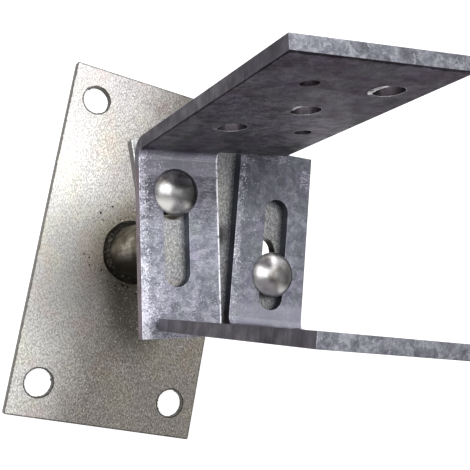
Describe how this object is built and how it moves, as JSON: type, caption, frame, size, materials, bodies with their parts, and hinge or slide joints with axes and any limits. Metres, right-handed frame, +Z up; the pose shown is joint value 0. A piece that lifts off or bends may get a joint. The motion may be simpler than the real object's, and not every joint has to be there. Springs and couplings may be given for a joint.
{
  "type": "adjustable post base",
  "caption": "Adjustable post base: drilled base plate, tube stem, slotted support plate and a pair of bolted, sliding L brackets that grip a timber post.",
  "frame": {"origin": "middle of the base plate's underside", "axes": "+Z up along the tube, +Y along the base plate towards the rear bracket, +X across the base plate"},
  "size_m": [0.1, 0.185, 0.239],
  "materials": {
    "base_steel": "satin, speckled",
    "support_steel": "satin, speckled",
    "weld_bead": "as welded",
    "galvanised_sheet": "galvanised, mottled",
    "bolt_steel": "bright plated"
  },
  "bodies": {
    "base": {"base_plate": "base_steel", "tube_stem": "base_steel", "base_weld": "weld_bead", "plate_weld": "weld_bead", "support_plate": "support_steel"},
    "rear_washer": {"rear_washer": "bolt_steel"},
    "rear_bolt": {"rear_bolt": "bolt_steel", "rear_nut": "bolt_steel"},
    "rear_bracket": {"rear_bracket": "galvanised_sheet"},
    "front_washer": {"front_washer": "bolt_steel"},
    "front_bolt": {"front_bolt": "bolt_steel", "front_nut": "bolt_steel"},
    "front_bracket": {"front_bracket": "galvanised_sheet"}
  },
  "joints": [
    {"name": "rear_bolt_slide", "type": "slide", "parent": "base", "child": "rear_washer", "axis": [-0.3518, 0.9361, 0], "range_m": [-0.002, 0.007]},
    {"name": "rear_swivel", "type": "hinge", "parent": "rear_washer", "child": "rear_bolt", "pos_m": [-0.02475, 0.01185, 0.118], "axis": [0, 0, 1], "range_deg": [-8, 0.5]},
    {"name": "rear_foot_slide", "type": "slide", "parent": "rear_bolt", "child": "rear_bracket", "axis": [-0.2181, 0.9759, 0], "range_m": [-0.0023, 0.032]},
    {"name": "front_bolt_slide", "type": "slide", "parent": "base", "child": "front_washer", "axis": [0.3518, -0.9361, 0], "range_m": [-0.001, 0.0012]},
    {"name": "front_swivel", "type": "hinge", "parent": "front_washer", "child": "front_bolt", "pos_m": [0.02475, -0.01185, 0.118], "axis": [0, 0, 1], "range_deg": [-0.5, 5]},
    {"name": "front_foot_slide", "type": "slide", "parent": "front_bolt", "child": "front_bracket", "axis": [0.1028, -0.9947, 0], "range_m": [-0.0082, 0.026]}
  ]
}
